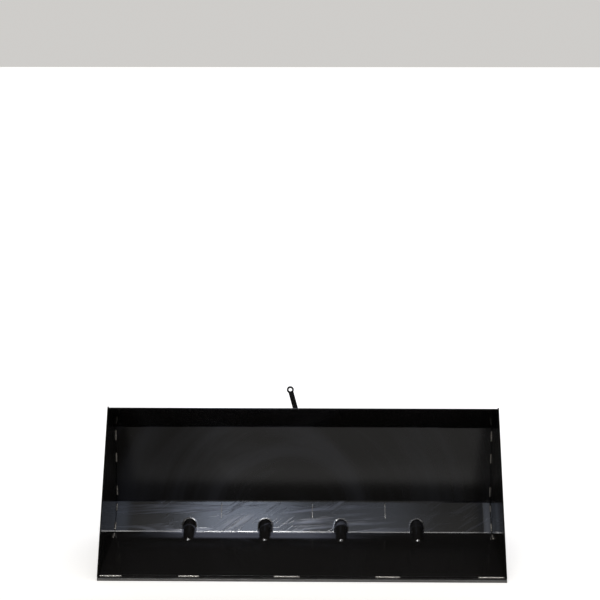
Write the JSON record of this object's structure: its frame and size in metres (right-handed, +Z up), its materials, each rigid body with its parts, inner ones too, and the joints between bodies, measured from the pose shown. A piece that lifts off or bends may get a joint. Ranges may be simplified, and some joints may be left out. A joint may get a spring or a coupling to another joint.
{
  "type": "vehicle front bucket",
  "caption": "Wide black folded-steel snow bucket, open in front, that tips on a hinge at its push frame, with a spring latch, release lever and rope pulley.",
  "frame": {"origin": "on the ground, under the middle of the whole assembly's box", "axes": "+X across the bucket, to the right of someone who stands in front of it and looks at it; +Y from the cutting edge back towards the vehicle; +Z up"},
  "size_m": [1.15, 1.023, 0.425],
  "materials": {
    "black_coat": "glossy black powder coat with fine orange peel and light handling smears",
    "coated_welds": "rippled weld beads under glossy black powder coat",
    "worn_edge": "black coat rubbed down to steel along the corners",
    "zinc_steel": "bright zinc plate, slightly yellow",
    "bare_steel": "oiled bare steel, polished where it rubs",
    "sheave_steel": "turned steel, groove polished by the rope",
    "bronze": "plain turned bronze",
    "black_rubber": "matt moulded rubber",
    "black_plastic": "fine-grained moulded plastic"
  },
  "bodies": {
    "push_frame": {"front_crossbar": "black_coat", "rear_crossbar": "black_coat", "middle_crossbar": "black_coat", "push_rail_left": "black_coat", "push_rail_right": "black_coat", "tube_plugs": "black_plastic", "corner_gussets": "black_coat", "hitch_plate_left_inner": "black_coat", "hitch_plate_left_outer": "black_coat", "hitch_plate_right_inner": "black_coat", "hitch_plate_right_outer": "black_coat", "mast_plate_left": "black_coat", "mast_plate_right": "black_coat", "mast_face_plate": "black_coat", "stop_pad": "black_rubber", "pad_screws": "zinc_steel", "spring_anchor": "zinc_steel", "hinge_lug_left": "black_coat", "hinge_lug_right": "black_coat", "hinge_bush_left": "bronze", "hinge_bush_right": "bronze", "grease_nipples": "zinc_steel", "pulley_bolt": "zinc_steel", "pulley_nut": "zinc_steel", "latch_bolt": "zinc_steel", "latch_nut": "zinc_steel", "mast_washers": "zinc_steel", "pulley_spacers": "zinc_steel", "latch_spring": "bare_steel"},
    "bucket": {"bucket_shell": "black_coat", "side_plate_left": "black_coat", "side_plate_right": "black_coat", "cutting_edge": "worn_edge", "edge_welds": "coated_welds", "side_welds": "coated_welds", "slot_welds": "coated_welds", "back_stiffener_left": "black_coat", "back_stiffener_right": "black_coat", "skid_left": "worn_edge", "skid_right": "worn_edge", "hinge_bracket_left_inner": "black_coat", "hinge_bracket_left_outer": "black_coat", "hinge_bracket_right_inner": "black_coat", "hinge_bracket_right_outer": "black_coat", "striker_plate_left": "black_coat", "striker_plate_right": "black_coat", "striker_pin": "bare_steel", "landing_plate": "black_coat", "hinge_pin_left": "zinc_steel", "hinge_pin_right": "zinc_steel", "hinge_clip_left": "zinc_steel", "hinge_clip_right": "zinc_steel", "thrust_washers": "zinc_steel"},
    "latch": {"latch_hook": "bare_steel", "latch_sleeve": "bare_steel", "spring_peg": "bare_steel", "release_lever": "black_coat"},
    "pulley": {"lift_pulley": "sheave_steel", "pulley_bush": "bronze"}
  },
  "joints": [
    {"name": "bucket_tip", "type": "hinge", "parent": "push_frame", "child": "bucket", "pos_m": [0, -0.0315, 0.095], "axis": [1, 0, 0], "range_deg": [0, 50]},
    {"name": "latch_release", "type": "hinge", "parent": "push_frame", "child": "latch", "pos_m": [0, 0.0385, 0.268], "axis": [-1, 0, 0], "range_deg": [0, 22], "stiffness_Nm_per_rad": 8, "springref_deg": -17.19, "deforming": ["latch_spring"]},
    {"name": "pulley_spin", "type": "hinge", "parent": "push_frame", "child": "pulley", "pos_m": [0, 0.0935, 0.235], "axis": [1, 0, 0], "continuous": true}
  ]
}
